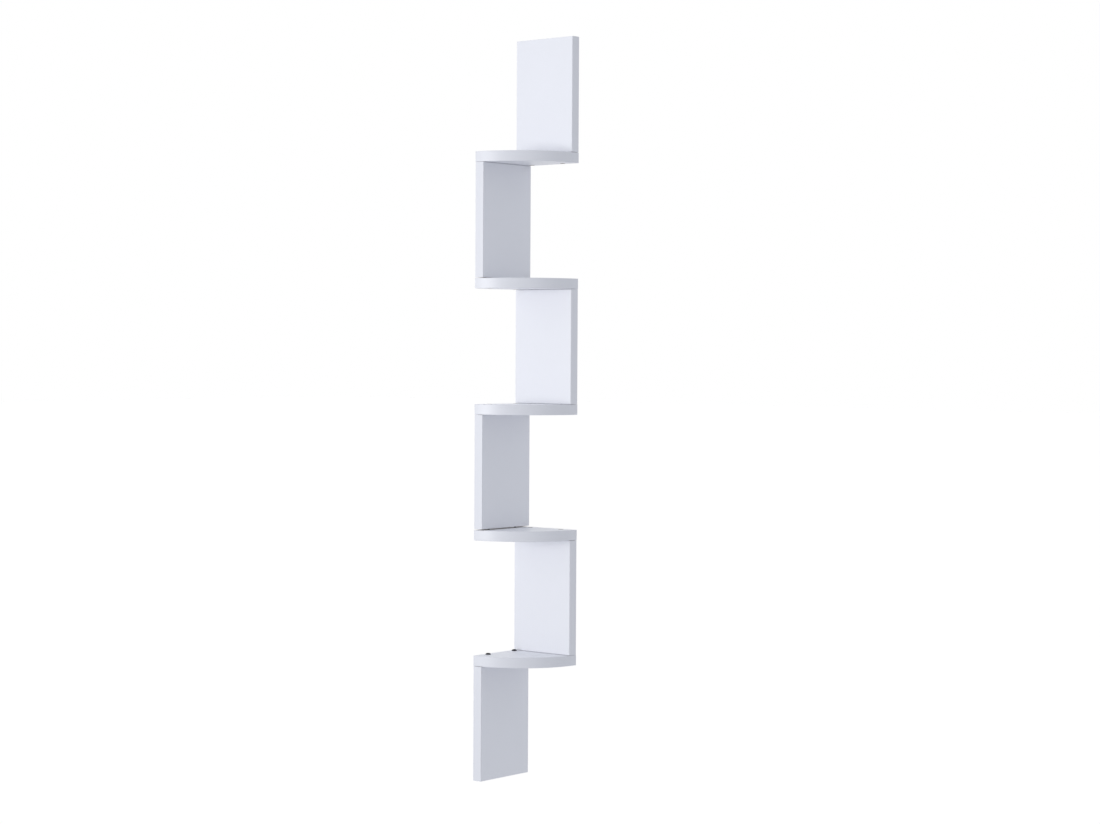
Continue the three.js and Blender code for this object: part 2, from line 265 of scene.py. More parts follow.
class BookshelfStage(bpy.types.PropertyGroup):
    """The camera, the light and the floor."""
    distance: bpy.props.FloatProperty(
        name="Distance", description="Level distance from the corner of the walls to the camera",
        default=4.2, **LENGTH)
    height: bpy.props.FloatProperty(
        name="Height", description="Height of the camera above the shelf's foot",
        subtype="DISTANCE", unit="LENGTH", default=0.74)
    azimuth: bpy.props.FloatProperty(
        name="Azimuth", description="Turn of the camera's place round the corner of the walls",
        default=np.radians(40.42), **ANGLE)
    aside: bpy.props.FloatProperty(
        name="Aside", description="Turn of the view away from the corner of the walls",
        default=np.radians(-0.671), **ANGLE)
    pitch: bpy.props.FloatProperty(
        name="Pitch", description="Tilt of the view below the level",
        default=np.radians(1.485), **ANGLE)
    roll: bpy.props.FloatProperty(
        name="Roll", description="Turn of the camera about its own view",
        default=np.radians(0.29), **ANGLE)
    lens: bpy.props.FloatProperty(
        name="Lens", description="Focal length on a sensor 36 mm wide, in millimetres",
        min=1, default=78.57)
    floor_drop: bpy.props.FloatProperty(
        name="Floor drop", description="Distance from the shelf's foot down to the floor",
        default=0.45, **LENGTH)
    right_flat: bpy.props.FloatProperty(
        name="Right flat", description="Strength of the light off the flat behind the right wall",
        min=0, default=0.80)
    left_flat: bpy.props.FloatProperty(
        name="Left flat", description="Strength of the light off the flat behind the left wall",
        min=0, default=0.97)
    room: bpy.props.FloatProperty(
        name="Room", description="Strength of the light from the open side, where the camera is",
        min=0, default=0.56)
    key: bpy.props.FloatProperty(
        name="Key light", description="Power of the soft light before the right wall, in watts",
        subtype="POWER", unit="POWER", min=0, default=10.2)


# Meshes

def solid(name, points, faces, slots):
    """A mesh of points and lists of faces, turned as a whole so that its faces point outwards:
    the sum over all triangles of a . (b x c) is six times the volume, and has to be positive.
    slots gives each face its material."""
    triangles = np.concatenate([
        np.concatenate([part[:, [0, k, k + 1]] for k in range(1, part.shape[1] - 1)])
        for part in faces])
    a, b, c = (points[triangles[:, k]] for k in range(3))
    inside_out = np.einsum("ij,ij->", a, np.cross(b, c)) < 0
    rows = [part[:, ::-1] if inside_out else part for part in faces]
    mesh = bpy.data.meshes.new(name)
    mesh.from_pydata(points.tolist(), [], [face for part in rows for face in part.tolist()])
    mesh.polygons.foreach_set("material_index", slots.astype(np.int32))
    return mesh


def stack(name, rings, foot_slot=0, wall_slot=0, head_slot=0):
    """A closed skin over a stack of rings with the same number of points: quads join each ring to
    the next, and a fan of triangles closes the first and the last ring at its middle."""
    rows, columns = rings.shape[:2]
    ids = np.arange(rows * columns).reshape(rows, columns)
    after = np.roll(ids, -1, axis=1)
    walls = np.stack([ids[:-1], after[:-1], after[1:], ids[1:]], axis=-1).reshape(-1, 4)
    low, high = (np.full(columns, rows * columns + k) for k in range(2))
    foot = np.stack([after[0], ids[0], low], axis=-1)
    head = np.stack([ids[-1], after[-1], high], axis=-1)
    points = np.concatenate([rings.reshape(-1, 3), rings[[0, -1]].mean(axis=1)])
    slots = np.repeat([wall_slot, foot_slot, head_slot], [len(walls), columns, columns])
    return solid(name, points, [walls, foot, head], slots)


def placed(mesh, matrix, place):
    """Turns a mesh's points by a matrix, shifts them to a place and returns the mesh."""
    mesh.transform(Matrix.Translation(place) @ matrix)
    return mesh


def cut(piece, cutters):
    """Takes the cutter meshes out of a piece, one after another. A cut wall keeps the material
    index of the cutter's face that made it."""
    for cutter in cutters:
        tool = bpy.data.objects.new("cutter", cutter)
        bpy.context.scene.collection.objects.link(tool)
        change = piece.modifiers.new("cut", "BOOLEAN")
        change.operation = "DIFFERENCE"
        change.solver = "MANIFOLD"
        change.material_mode = "INDEX"
        change.object = tool
        graph = bpy.context.evaluated_depsgraph_get()
        result = bpy.data.meshes.new_from_object(piece.evaluated_get(graph), depsgraph=graph)
        piece.modifiers.remove(change)
        old = piece.data
        piece.data = result
        bpy.data.meshes.remove(old)
        bpy.data.objects.remove(tool)
        bpy.data.meshes.remove(cutter)


def add_piece(node, mesh, materials, cutters=()):
    """Makes the object that stands for a CAD node: takes the cutters out of its mesh, shades it
    smooth with crisp edges and hands it to the frame. Its materials are given in slot order."""
    piece = bpy.data.objects.new(f"{node}_finished", mesh)
    for material in materials:
        mesh.materials.append(material)
    bpy.context.scene.collection.objects.link(piece)
    cut(piece, cutters)
    mesh = piece.data
    mesh.name = piece.name
    mesh.polygons.foreach_set("use_smooth", np.ones(len(mesh.polygons), bool))
    mesh.set_sharp_from_angle(angle=SHARP_ANGLE)
    shading = piece.modifiers.new("even_faces", "WEIGHTED_NORMAL")
    shading.keep_sharp = True
    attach(piece, BODY)
    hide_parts(node)


# Outlines and profiles

def on_circle(turn):
    """Points (cos t, sin t) of the unit circle."""
    return np.stack([np.cos(turn), np.sin(turn)], axis=-1)


def rounded_rectangle(first, second, radii, inset=0.0):
    """A rectangle between two spans whose corners are quarter circles, each point being a corner's
    centre plus its radius times (cos, sin). radii and corners run from (low, low) round to
    (low, high), and an inset shrinks each radius by as much."""
    (x0, x1), (y0, y1) = first, second
    ring = []
    for k, (x, y) in enumerate([(x0, y0), (x1, y0), (x1, y1), (x0, y1)]):
        radius = max(radii[k] - inset, CRISP)
        turn = np.pi + np.pi / 2 * (k + np.linspace(0, 1, EDGE_STEPS + 1))
        centre = np.array([x + radius * (1 if k in (0, 3) else -1), y + radius * (1 if k < 2 else -1)])
        ring.append(centre + radius * on_circle(turn))
    return np.concatenate(ring)


def rounded_rows(low, high, low_round, high_round):
    """Heights and insets down a side with rounded ends: along each quarter turn a, the inset is
    r (1 - sin a) and the height r (1 - cos a) from that end."""
    turn = np.linspace(0, np.pi / 2, EDGE_STEPS + 1)
    rise, draw = 1 - np.cos(turn), 1 - np.sin(turn)
    heights = np.concatenate([low + low_round * rise, (high - high_round * rise)[::-1]])
    insets = np.concatenate([low_round * draw, (high_round * draw)[::-1]])
    return heights, insets


def circle(radius):
    """A circle as points radius (cos t, sin t)."""
    return radius * on_circle(np.linspace(0, 2 * np.pi, HOLE_STEPS, endpoint=False))


def long_hole(width, low, high):
    """A slot with round ends, upright in y: half circles about (0, high) and (0, low)."""
    arc = width / 2 * on_circle(np.linspace(0, np.pi, HOLE_STEPS // 2 + 1))
    return np.concatenate([arc + (0, high), -arc + (0, low)])


def cross(width, span):
    """A cross-shaped outline: at each turn t it reaches as far as the longer of its two bars. The
    one bar ends at span / 2 / |cos t| or at its side, width / 2 / |sin t|, and the other bar the
    same with cos and sin changed over."""
    way = on_circle(np.linspace(0, 2 * np.pi, 3 * HOLE_STEPS, endpoint=False))
    c, s = np.maximum(np.abs(way), NEARLY_ZERO).T
    bar = np.minimum(span / 2 / c, width / 2 / s)
    other = np.minimum(span / 2 / s, width / 2 / c)
    return np.maximum(bar, other)[:, None] * way


def at_height(outline, height):
    """A flat outline as a ring of points at one height."""
    return np.concatenate([outline, np.full((len(outline), 1), height)], axis=1)


def prism(name, outline, low, high, slot=1):
    """A cutter with one outline from low to high."""
    rings = np.stack([at_height(outline, height) for height in (low, high)])
    return stack(name, rings, slot, slot, slot)


def lathe(name, profile, slot=1):
    """A cutter turned from (radius, height) points, from the bottom up."""
    rings = np.stack([at_height(circle(radius), height) for radius, height in profile])
    return stack(name, rings, slot, slot, slot)


# Materials

def add_node(tree, kind, settings=None, inputs=None):
    """Adds a node with its own settings. inputs gives each socket a value or the output feeding it."""
    node = tree.nodes.new(kind)
    for name, value in (settings or {}).items():
        setattr(node, name, value)
    for socket, value in (inputs or {}).items():
        if isinstance(value, bpy.types.NodeSocket):
            tree.links.new(value, node.inputs[socket])
        else:
            node.inputs[socket].default_value = value
    return node


def new_material(name):
    """An empty node material, its tree, and the object's own coordinates in metres."""
    material = bpy.data.materials.new(name)
    material.use_nodes = True
    tree = material.node_tree
    tree.nodes.clear()
    place = add_node(tree, "ShaderNodeTexCoord").outputs["Object"]
    return material, tree, place


def close_material(tree, shader):
    """Joins a shader to the material's output."""
    add_node(tree, "ShaderNodeOutputMaterial", inputs={"Surface": shader.outputs[0]})


def noise(tree, place, size, detail, roughness=0.5):
    """Noise with blotches of about a size given in metres."""
    return add_node(tree, "ShaderNodeTexNoise", inputs={
        "Vector": place, "Scale": 1 / size, "Detail": detail, "Roughness": roughness}).outputs["Fac"]


def drawn_out(tree, place, sizes):
    """Places counted in sizes given for x, y and z, over which a noise of size 1 runs in lines."""
    return add_node(tree, "ShaderNodeMapping", inputs={
        "Vector": place, "Scale": [1 / size for size in sizes]}).outputs[0]


def levels(tree, value, low, high, least=0.0, most=1.0):
    """Turns a value into one that runs from low to high as the value goes from least to most."""
    return add_node(tree, "ShaderNodeMapRange", inputs={
        "Value": value, "From Min": least, "From Max": most, "To Min": low, "To Max": high}).outputs[0]


def relief(tree, height, strength, distance):
    """The surface's direction where a height value raises it by as much as a distance."""
    return add_node(tree, "ShaderNodeBump", inputs={
        "Height": height, "Strength": strength, "Distance": distance}).outputs[0]


def tints(tree, factor, low, high):
    """The colour from low to high that a factor picks, each given as three values or as the output
    feeding it. A mix node's sockets 6 and 7 are its two colours, and its output 2 is their mix."""
    low, high = (colour if isinstance(colour, bpy.types.NodeSocket) else (*colour, 1)
                 for colour in (low, high))
    return add_node(tree, "ShaderNodeMix", {"data_type": "RGBA"},
                    {"Factor": factor, 6: low, 7: high}).outputs[2]


def shades(tree, factor, colour, low, high=1.0):
    """The shade of a colour, from low to high times it, that a factor picks."""
    return tints(tree, factor, np.array(colour) * low, np.array(colour) * high)


def principled(material, tree, colour, roughness, normal, **more):
    """Ends a material with a surface of this colour, roughness and relief, and returns it."""
    shader = add_node(tree, "ShaderNodeBsdfPrincipled", inputs={
        "Base Color": colour, "Roughness": roughness, "Normal": normal, **more})
    close_material(tree, shader)
    return material


def melamine(settings):
    """Melamine paper pressed on fibreboard against a satin plate: an even cool white with a soft
    sheen, and a pebble so fine that it only breaks the shine up."""
    material, tree, place = new_material("satin_melamine_on_mdf")
    cloud = noise(tree, place, size=140 * MM, detail=3)
    # The real pebble is 0.3 mm wide, and is drawn at 0.9 mm so that close views show it
    pebble = noise(tree, place, size=0.9 * MM, detail=2, roughness=0.6)
    return principled(
        material, tree,
        colour=shades(tree, cloud, settings.laminate, 0.972),
        roughness=levels(tree, cloud, 0.36, 0.46),
        normal=relief(tree, pebble, strength=0.4, distance=0.05 * MM),
        IOR=1.5)


def edge_band(settings, upright):
    """Extruded ABS edging, ironed on and trimmed: a touch smoother than the faces, with faint
    drawn lines that run along the strip."""
    kind = "upright" if upright else "level"
    material, tree, place = new_material(f"extruded_abs_edging_{kind}")
    across, length = 0.8 * MM, 60 * MM
    sizes = (across, across, length) if upright else (length, length, across)
    lines = noise(tree, drawn_out(tree, place, sizes), size=1, detail=2)
    return principled(
        material, tree,
        colour=shades(tree, lines, settings.band, 0.975),
        roughness=levels(tree, lines, 0.33, 0.42),
        normal=relief(tree, lines, strength=0.3, distance=0.03 * MM),
        IOR=1.53)


def bare_board(settings):
    """Cut medium-density fibreboard: felted wood fibres without grain, matt and light brown, with
    darker specks."""
    material, tree, place = new_material("cut_mdf")
    fibre = noise(tree, place, size=1.1 * MM, detail=5, roughness=0.7)
    return principled(
        material, tree,
        colour=shades(tree, fibre, settings.board_core, 0.55, 1.2),
        roughness=0.88,
        normal=relief(tree, fibre, strength=0.6, distance=0.15 * MM))


def phosphated_steel(settings):
    """Black phosphated and oiled steel: a charcoal coat of fine crystals, some darker than others,
    that shines softly and unevenly through its oil."""
    material, tree, place = new_material("black_phosphated_steel")
    crystal = noise(tree, place, size=0.5 * MM, detail=4, roughness=0.65)
    return principled(
        material, tree,
        colour=shades(tree, crystal, settings.black, 0.6, 1.3),
        roughness=levels(tree, crystal, 0.36, 0.58),
        normal=relief(tree, crystal, strength=0.3, distance=0.03 * MM),
        Metallic=1.0)


def zinc_plate(settings):
    """Pressed steel, zinc plated and clear passivated: a cool silver with rolled lines down the
    strip and soft clouds in the plating."""
    material, tree, place = new_material("zinc_plated_steel_sheet")
    rolled = drawn_out(tree, place, (0.5 * MM, 0.5 * MM, 25 * MM))
    lines = noise(tree, rolled, size=1, detail=3, roughness=0.6)
    cloud = noise(tree, place, size=5 * MM, detail=4, roughness=0.65)
    patch = levels(tree, cloud, 0, 1, least=0.38, most=0.62)
    return principled(
        material, tree,
        colour=shades(tree, patch, settings.zinc, (0.7, 0.73, 0.8)),
        roughness=levels(tree, lines, 0.2, 0.5, least=0.3, most=0.7),
        normal=relief(tree, lines, strength=0.5, distance=0.04 * MM),
        Metallic=1.0)


def once(name, make):
    """The material of that name, made the first time that it is asked for."""
    return bpy.data.materials.get(name) or make()


def board_materials(settings):
    """The faces of a board, and the bare board where it is cut."""
    return [once("satin_melamine_on_mdf", lambda: melamine(settings)),
            once("cut_mdf", lambda: bare_board(settings))]


# Boards

def screw_seats(number):
    """The four joint screws of a shelf as (node, way, low corner, high corner)."""
    seats = []
    for way in ("up", "down"):
        for end in ("front", "rear"):
            node = f"shelf_{number}_screw_{way}_{end}"
            seats.append((node, way, *node_box(node)))
    return seats


def is_domed(node, screws):
    """A domed screw is longer in all than a sunk one by the height of its head."""
    low, high = node_box(node)
    return high[2] - low[2] > screw_length() + screws.head_height / 2


def screw_length():
    """The shortest joint screw's length: all shanks are alike, and a dome adds to its screw."""
    seats = [seat for number in SHELVES for seat in screw_seats(number)]
    return min(high[2] - low[2] for _, _, low, high in seats)


def head_hole(radius, low, high, way, screws, domed, face):
    """A drilled hole through a shelf, as a cutter. A sunk head gets a countersink that follows its
    cone, open to the face that the screw enters by."""
    bore = screws.shank / 2 + screws.hole_clearance
    mouth = radius + screws.hole_clearance
    drop = 0 if domed else abs((high if way == "down" else low) - face[way])
    profile = [(bore, -(face["down"] - face["up"]) - OVERRUN)]
    if domed:
        profile += [(bore, OVERRUN)]
    else:
        profile += [(bore, -drop - screws.head_height), (mouth, -drop - HEAD_RIM), (mouth, OVERRUN)]
    return lathe("hole", profile)


def pilot_cutters(number, screws):
    """The pilot holes in an upright's ends, one for each screw that reaches into it."""
    bore = screws.shank / 2 + screws.hole_clearance
    foot, top = (corner[2] for corner in node_box(upright_node(number)))
    cutters = []
    for shelf, way in ((number, "up"), (number - 1, "down")):
        if shelf not in SHELVES:
            continue
        for _, seat_way, low, high in screw_seats(shelf):
            if seat_way != way:
                continue
            centre = (low + high) / 2
            if way == "up":
                ends = foot - OVERRUN, high[2] + JOINT_RUNOUT
            else:
                ends = low[2] - JOINT_RUNOUT, top + OVERRUN
            cutters.append(prism("pilot", circle(bore) + centre[:2], *ends))
    return cutters


def hanger_cutters(number, screws, plates):
    """The recess of a keyhole plate, the pocket behind it and its two pilot holes."""
    wall = wall_of(number)
    along, off, height = wall_span(f"hanger_plate_{number}", wall)
    matrix, place = back_matrix(wall, sum(along) / 2, sum(height) / 2)
    width, length = along[1] - along[0] + 2 * plates.gap, height[1] - height[0] + 2 * plates.gap
    reach = (length - width) / 2
    floor = off[1] + plates.gap
    recess = prism("recess", long_hole(width, -reach, reach), -floor, OVERRUN)
    pocket = prism("pocket", long_hole(plates.pocket_width, -plates.rise / 2, plates.rise / 2),
                   -floor - plates.pocket_depth, -floor + OVERRUN)
    cutters = [recess, pocket]
    for end in ("upper", "lower"):
        low, high = node_box(f"hanger_plate_{number}_screw_{end}")
        middle = (low[2] + high[2]) / 2 - sum(height) / 2
        _, depth, _ = wall_span(f"hanger_plate_{number}_screw_{end}", wall)
        bore = circle(screws.plate_shank / 2 + PLATE_SCREW_GAP) + (0, middle)
        cutters.append(prism("pilot", bore, -depth[1] - PLATE_RUNOUT, -floor + OVERRUN))
    return [placed(cutter, matrix, place) for cutter in cutters]


def standing_mesh(node, number, boards, radii, rear_draw, slots=(0, 0, 0)):
    """The core or band of an upright as a stack of rounded rectangles, drawn in at both ends by
    rounded_rows. rear_draw is 1 where the edge in the room's corner draws in too, and 0 where the
    shape starts at a joint. slots are the materials of its foot, sides and head."""
    along, off, height = wall_span(node, wall_of(number))
    foot = height[0] + boards.open_feet[UPRIGHTS.index(number)]
    rings = []
    for z, draw in zip(*rounded_rows(foot, height[1], boards.end_edge, boards.end_edge)):
        first, second = (along[0] + rear_draw * draw, along[1]), (off[0] + draw, off[1] - draw)
        rings.append(at_height(rounded_rectangle(first, second, radii, draw), z))
    return stack(node, along_wall(np.stack(rings), wall_of(number)), *slots)


class BOOKSHELF_OT_uprights(bpy.types.Operator):
    """Build the uprights: rounded boards with pilot holes in their ends and a keyhole recess"""
    bl_idname = "bookshelf.uprights"
    bl_label = "Uprights"

    def execute(self, context):
        boards, screws = context.scene.bookshelf_boards, context.scene.bookshelf_screws
        radii = [boards.long_edge, 0, 0, boards.long_edge]
        for number in UPRIGHTS:
            node = upright_node(number)
            foot, head = (int(shelf in SHELVES) for shelf in (number, number - 1))
            mesh = standing_mesh(node, number, boards, radii, 1, (foot, 0, head))
            cutters = pilot_cutters(number, screws)
            if number in HANGERS:
                cutters += hanger_cutters(number, screws, context.scene.bookshelf_plates)
            add_piece(node, mesh, board_materials(boards), cutters)
        return {"FINISHED"}


class BOOKSHELF_OT_shelves(bpy.types.Operator):
    """Build the shelves: quarter discs with drilled and countersunk screw holes"""
    bl_idname = "bookshelf.shelves"
    bl_label = "Shelves"

    def execute(self, context):
        boards, screws = context.scene.bookshelf_boards, context.scene.bookshelf_screws
        for number in SHELVES:
            node = f"shelf_{number}"
            low, high = node_box(node)
            edge = boards.long_edge * SHELF_EDGE_SHARE
            heights, insets = rounded_rows(low[2], high[2], edge, edge)
            rings = [at_height(quarter_disc(high[0], d), z) for z, d in zip(heights, insets)]
            face = {"up": low[2], "down": high[2]}
            cutters = []
            for seat, way, first, last in screw_seats(number):
                hole = head_hole((last[0] - first[0]) / 2, first[2], last[2], way, screws,
                                 is_domed(seat, screws), face)
                centre = (first + last) / 2
                turn = Matrix.Rotation(np.pi if way == "up" else 0, 4, "X")
                cutters.append(placed(hole, turn, (centre[0], centre[1], face[way])))
            mesh = stack(node, np.stack(rings))
            add_piece(node, mesh, board_materials(boards), cutters)
        return {"FINISHED"}


def quarter_disc(radius, inset):
    """A quarter disc's outline with its two straight sides drawn in by an inset: the arc then runs
    from asin(inset / radius) to as much short of a quarter turn, and the corner is (inset, -inset)."""
    start = np.arcsin(inset / radius)
    turn = np.linspace(start, np.pi / 2 - start, ARC_STEPS + 1)
    arc = radius * on_circle(turn) * (1, -1)
    return np.concatenate([[[inset, -inset]], arc])


# Edge bands

class BOOKSHELF_OT_edge_bands(bpy.types.Operator):
    """Build the edge bands round the shelves' curved fronts and down the uprights' front edges"""
    bl_idname = "bookshelf.edge_bands"
    bl_label = "Edge bands"

    def execute(self, context):
        boards = context.scene.bookshelf_boards
        level = edge_band(boards, False)
        upright = edge_band(boards, True)
        radii = [0, boards.band_edge, boards.band_edge, 0]
        turn = np.linspace(0, np.pi / 2, ARC_STEPS + 1)[:, None]
        for number in SHELVES:
            node = f"shelf_{number}_edge_band"
            low, high = node_box(node)
            inner = node_box(f"shelf_{number}")[1][0] + self.glue_line(number)
            section = rounded_rectangle((inner, high[0]), (low[2], high[2]), radii)
            reach, rise = section[None, :, 0], section[None, :, 1]
            rings = np.stack([reach * np.cos(turn), -reach * np.sin(turn), rise + 0 * turn], axis=-1)
            add_piece(node, stack(node, rings), [level])
        for number in UPRIGHTS:
            node = f"upright_{number}_edge_band"
            mesh = standing_mesh(node, number, boards, radii, 0)
            add_piece(node, mesh, [upright])
        return {"FINISHED"}

    def glue_line(self, number):
        """The gap between a core and its band, taken from an upright's two nodes."""
        core = wall_span(upright_node(number), wall_of(number))[0][1]
        band = wall_span(f"upright_{number}_edge_band", wall_of(number))[0][0]
        return band - core


# Screws

def thread(low, high, depth, pitch, heights):
    """How far a thread stands out at each height z and turn t: a ridge wherever z / pitch - t,
    counted in turns, is near a whole number and a half. It fades in over one pitch above low, and
    out over one pitch below high."""
    turn = np.linspace(0, 1, HOLE_STEPS, endpoint=False)[None, :]
    phase = (heights[:, None] / pitch - turn) % 1
    ridge = np.clip(1 - np.abs(phase - 0.5) / THREAD_FOOT, 0, 1)
    fade = np.clip((heights - low) / pitch, 0, 1) * np.clip((high - heights) / pitch, 0, 1)
    return depth * ridge * fade[:, None]


def screw_mesh(name, length, shank, head_radius, head_height, domed, pitch, recess):
    """A screw with its shank down and its seat or flat top at z = 0: a tip as long as the shank is
    thick, then the core's radius plus the thread, the plain neck and the head's profile, and a
    cross recess in its top. A row's radius is one number, or one for each step round."""
    depth = THREAD_DEPTH * shank
    core = shank / 2 - depth
    bottom = -length + shank
    neck = -NECK_SHARE * length - (0 if domed else head_height)
    heights = np.arange(bottom, neck, pitch / THREAD_ROWS)
    rows = [((TIP_SHARE + (1 - TIP_SHARE) * p) * core, -length + p * shank)
            for p in np.linspace(0, 1, TIP_ROWS)[:-1]]
    rows += zip(core + thread(bottom - pitch, neck, depth, pitch, heights), heights)
    rows += [(core, neck), (shank / 2, neck + depth)]
    if domed:
        rise = head_height - HEAD_RIM
        rows += [(shank / 2, 0), (head_radius, 0)]
        rows += [(head_radius * np.cos(a) ** DOME_POWER, HEAD_RIM + rise * np.sin(a))
                 for a in np.linspace(0, np.pi / 2, DOME_ROWS)[:-1]]
    else:
        rows += [(shank / 2, -head_height), (head_radius, -HEAD_RIM),
                 (head_radius, -HEAD_BEVEL), (head_radius - HEAD_BEVEL, 0)]
    unit = circle(1.0)
    rings = np.stack([at_height(unit * np.reshape(radius, (-1, 1)), z) for radius, z in rows])
    return cut_mesh(stack(name, rings), [recess_cutter(recess, head_height if domed else 0.0)])


def recess_cutter(recess, top):
    """A cross recess below a height: straight at its mouth, then tapering to its foot, where its
    bars keep a share of their span and lose half as much of their width as of their span."""
    width, span, depth = recess
    rows = [(RECESS_FOOT, top - depth), (1.0, top - RECESS_MOUTH * depth), (1.0, top + OVERRUN)]
    rings = [at_height(cross(width * (0.5 + share / 2), span * share), z) for share, z in rows]
    return stack("recess", np.stack(rings))


def cut_mesh(mesh, cutters):
    """A mesh with cutters taken out of it, made on an object that doesn't stay."""
    blank = bpy.data.objects.new("blank", mesh)
    bpy.context.scene.collection.objects.link(blank)
    cut(blank, cutters)
    result = blank.data
    bpy.data.objects.remove(blank)
    # The cut leaves an empty slot, which would come before the piece's own material
    result.materials.clear()
    return result


class BOOKSHELF_OT_joint_screws(bpy.types.Operator):
    """Build the joint screws, each turned to where its thread happens to stop"""
    bl_idname = "bookshelf.joint_screws"
    bl_label = "Joint screws"

    def execute(self, context):
        screws = context.scene.bookshelf_screws
        steel = phosphated_steel(screws)
        low, high = node_box(screw_seats(SHELVES[0])[0][0])
        radius = (high[0] - low[0]) / 2
        kinds = {domed: screw_mesh("joint_screw", screw_length(), screws.shank, radius,
                                   screws.head_height, domed, screws.thread_pitch, JOINT_RECESS)
                 for domed in (False, True)}
        count = 0
        for number in SHELVES:
            for node, way, low, high in screw_seats(number):
                domed = is_domed(node, screws)
                crown = screws.head_height if domed else 0
                centre = (low + high) / 2
                seat = high[2] - crown if way == "down" else low[2] + crown
                stop = Matrix.Rotation(count * GOLDEN_ANGLE, 4, "Z")
                turn = Matrix.Rotation(np.pi if way == "up" else 0, 4, "X")
                mesh = placed(kinds[domed].copy(), turn @ stop, (centre[0], centre[1], seat))
                add_piece(node, mesh, [steel])
                count += 1
        for mesh in kinds.values():
            bpy.data.meshes.remove(mesh)
        return {"FINISHED"}


# Keyhole plates

def plate_mesh(spans, head_radius, screw_place, screws, plates):
    """A keyhole plate, upright in y with its outer face at z = 0: a strip with round ends, cut
    through by the keyhole's round entry and slot, and by two screw holes whose countersinks follow
    the heads' cones and go on past the face at the same slope."""
    width, thick, length = (high - low for low, high in spans)
    reach = (length - width) / 2
    rings = [at_height(long_hole(width - 2 * d, -reach, reach), z)
             for z, d in zip(*rounded_rows(-thick, 0, PLATE_INNER_EDGE, PLATE_OUTER_EDGE))]
    bore, mouth = (radius + PLATE_SCREW_GAP for radius in (screws.plate_shank / 2, head_radius))
    slope = (mouth - bore) / screws.plate_head_height
    sink = [(bore, -thick - OVERRUN), (bore, -screws.plate_head_height),
            (mouth + slope * OVERRUN, OVERRUN)]
    through = (-thick - OVERRUN, OVERRUN, 0)
    cutters = [
        prism("entry", circle(plates.entry / 2) + (0, -plates.rise / 2), *through),
        prism("slot", long_hole(plates.slot, -plates.rise / 2, plates.rise / 2), *through),
    ]
    for way in (-1, 1):
        cutters.append(placed(lathe("sink", sink, 0), Matrix.Identity(4), (0, way * screw_place, 0)))
    return cut_mesh(stack("plate", np.stack(rings)), cutters)


class BOOKSHELF_OT_keyhole_plates(bpy.types.Operator):
    """Build the keyhole plates and their countersunk screws"""
    bl_idname = "bookshelf.keyhole_plates"
    bl_label = "Keyhole plates"

    def execute(self, context):
        screws = context.scene.bookshelf_screws
        steel = zinc_plate(screws)
        node, wall = f"hanger_plate_{HANGERS[0]}", wall_of(HANGERS[0])
        spans = wall_span(node, wall)
        across, depth, height = wall_span(f"{node}_screw_upper", wall)
        head = (across[1] - across[0]) / 2
        screw_place = sum(height) / 2 - sum(spans[2]) / 2
        plate = plate_mesh(spans, head, screw_place, screws, context.scene.bookshelf_plates)
        screw = screw_mesh("plate_screw", depth[1] - depth[0], screws.plate_shank, head,
                           screws.plate_head_height, False, PLATE_PITCH, PLATE_RECESS)
        for count, number in enumerate(HANGERS):
            node, wall = f"hanger_plate_{number}", wall_of(number)
            along, off, height = wall_span(node, wall)
            matrix, centre = back_matrix(wall, sum(along) / 2, sum(height) / 2)
            sunk = Matrix.Translation((0, 0, -off[0]))
            mesh = placed(plate.copy(), matrix @ sunk, centre)
            add_piece(node, mesh, [steel])
            for end, way in (("upper", 1), ("lower", -1)):
                stop = Matrix.Rotation((2 * count + way) * GOLDEN_ANGLE, 4, "Z")
                at = Matrix.Translation((0, way * screw_place, -off[0]))
                mesh = placed(screw.copy(), matrix @ at @ stop, centre)
                add_piece(f"{node}_screw_{end}", mesh, [steel])
        for mesh in (plate, screw):
            bpy.data.meshes.remove(mesh)
        return {"FINISHED"}


# Stage

def seen_ray(tree):
    """1 for rays that the camera, a mirror or glass sends out, and 0 for those that carry light."""
    path = add_node(tree, "ShaderNodeLightPath")
    mirror = add_node(tree, "ShaderNodeMath", {"operation": "MAXIMUM"}, {
        0: path.outputs["Is Camera Ray"], 1: path.outputs["Is Glossy Ray"]})
    return add_node(tree, "ShaderNodeMath", {"operation": "MAXIMUM"}, {
        0: mirror.outputs[0], 1: path.outputs["Is Transmission Ray"]}).outputs[0]


def by_ray(tree, unseen, seen):
    """One shader for the rays that carry light, and another for those that see."""
    return add_node(tree, "ShaderNodeMixShader", inputs={
        0: seen_ray(tree), 1: unseen.outputs[0], 2: seen.outputs[0]})


def floor_material():
    """A seamless paper sweep: matt white, glowing a little where it is seen so that it meets the
    white behind it, while it still takes the shelf's shadow."""
    material, tree, place = new_material("seamless_paper")
    pulp = noise(tree, place, size=3 * MM, detail=2)
    colour = tints(tree, pulp, linear("e6e6e8"), linear("eaeaec"))
    paper = add_node(tree, "ShaderNodeBsdfDiffuse", inputs={"Color": colour})
    # A little warm against the studio's cool light, so that both add up to white and hardly more
    glow = add_node(tree, "ShaderNodeEmission", inputs={
        "Color": (1, 0.95, 0.85, 1), "Strength": 0.41})
    dark = add_node(tree, "ShaderNodeEmission", inputs={"Strength": 0.0})
    seen = by_ray(tree, dark, glow)
    both = add_node(tree, "ShaderNodeAddShader", inputs={0: paper.outputs[0], 1: seen.outputs[0]})
    close_material(tree, both)
    return material


def past(tree, reach, sign):
    """0 to 1 as a direction turns to one side: a smooth step over sign times its share that way."""
    return add_node(tree, "ShaderNodeMapRange", {"interpolation_type": "SMOOTHSTEP"}, {
        "Value": reach, "From Min": -sign * FLAT_BLEND, "From Max": sign * FLAT_BLEND}).outputs[0]


